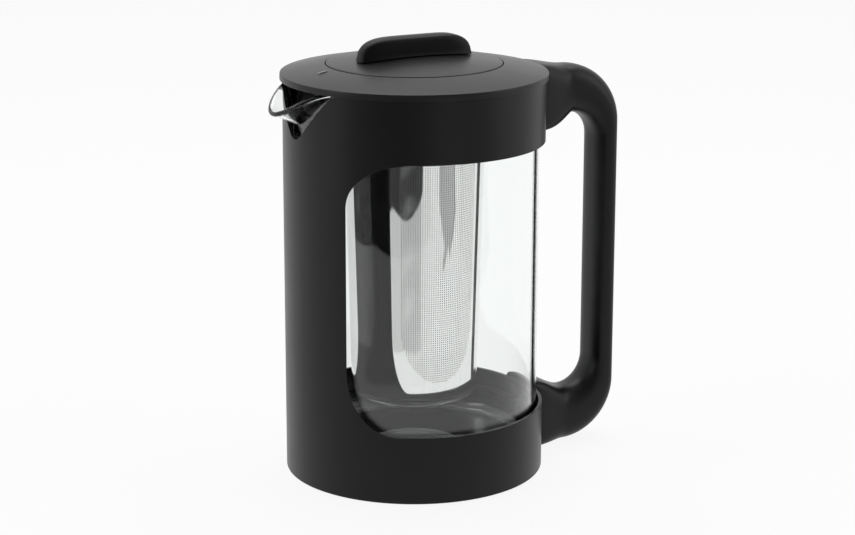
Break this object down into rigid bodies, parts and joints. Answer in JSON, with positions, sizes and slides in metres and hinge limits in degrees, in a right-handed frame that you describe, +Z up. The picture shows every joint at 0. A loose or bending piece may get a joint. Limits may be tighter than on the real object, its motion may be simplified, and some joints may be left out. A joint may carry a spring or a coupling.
{
  "type": "infuser pitcher",
  "caption": "Glass infuser pitcher in a black plastic casing with a loop handle, a lift-off lid with a grip bar and a hanging perforated steel infuser.",
  "frame": {"origin": "on the jug's axis, at the flat underside that it stands on", "axes": "+Z up along the jug's axis, +X towards the handle, the spout towards -X"},
  "size_m": [0.1713, 0.1182, 0.1967],
  "materials": {
    "casing_plastic": "satin moulded",
    "lid_plastic": "fine matte grain",
    "grip_plastic": "matte",
    "clear_glass": "clear, fire-polished",
    "polished_steel": "polished stainless steel",
    "screw_steel": "plain",
    "grey_silicone": "silicone",
    "dark_silicone": "silicone"
  },
  "bodies": {
    "jug": {"casing": "casing_plastic", "handle": "casing_plastic", "handle_screw_1": "screw_steel", "handle_screw_2": "screw_steel", "handle_screw_3": "screw_steel", "handle_screw_4": "screw_steel", "base_pad": "dark_silicone", "base_gasket": "dark_silicone", "collar_gasket": "dark_silicone", "glass_cushion": "grey_silicone", "glass_beaker": "clear_glass"},
    "lid_seal": {"lid_seal": "grey_silicone"},
    "lid": {"lid_ring": "lid_plastic"},
    "infuser": {"infuser_tube": "polished_steel", "infuser_cup": "polished_steel", "infuser_collar": "polished_steel"},
    "cap": {"lid_cap": "lid_plastic", "cap_seal": "grey_silicone", "lid_grip": "grip_plastic", "grip_screw_1": "screw_steel", "grip_screw_2": "screw_steel"}
  },
  "joints": [
    {"name": "lid_lift", "type": "slide", "parent": "jug", "child": "lid_seal", "axis": [0, 0, 1], "range_m": [0, 0.16]},
    {"name": "lid_turn", "type": "hinge", "parent": "lid_seal", "child": "lid", "pos_m": [0, 0, 0.1786], "axis": [0, 0, 1], "continuous": true},
    {"name": "infuser_lift", "type": "slide", "parent": "lid", "child": "infuser", "axis": [0, 0, 1], "range_m": [0, 0.155]},
    {"name": "cap_lift", "type": "slide", "parent": "infuser", "child": "cap", "axis": [0, 0, 1], "range_m": [0, 0.04]}
  ]
}
